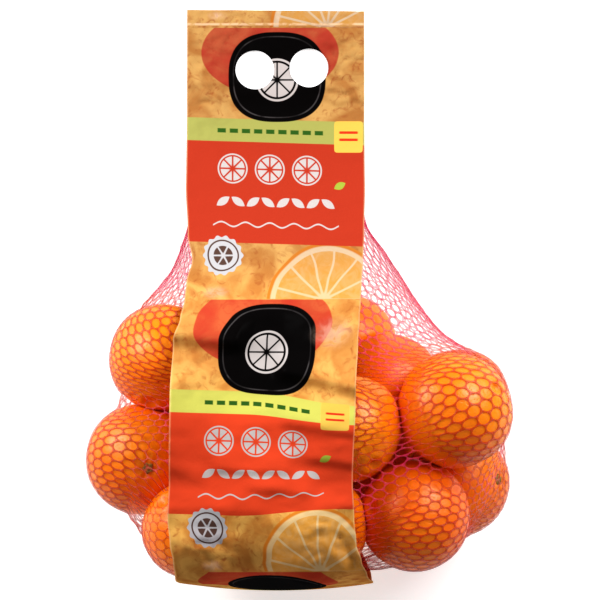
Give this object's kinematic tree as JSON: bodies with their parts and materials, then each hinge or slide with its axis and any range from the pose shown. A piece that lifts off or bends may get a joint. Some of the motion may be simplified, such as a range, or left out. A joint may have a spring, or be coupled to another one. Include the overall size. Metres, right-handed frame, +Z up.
{
  "type": "net bag of oranges",
  "caption": "Knitted net bag full of round oranges, lying on its back, with a long printed film band down the front ending in a flat header with two round finger holes.",
  "frame": {"origin": "on the surface it lies on, at the middle of the bag's plan", "axes": "+Z up, away from the surface and out of the printed front; +Y along the bag from its lower weld to the header; +X to the right as the print faces you"},
  "size_m": [0.2954, 0.4042, 0.1657],
  "materials": {
    "fruit": "satin",
    "net": "satin",
    "front_print": "satin",
    "back_print": "satin"
  },
  "bodies": {
    "root": {"net_of_oranges": "fruit", "front_label": "front_print", "back_label": "back_print"}
  },
  "joints": []
}
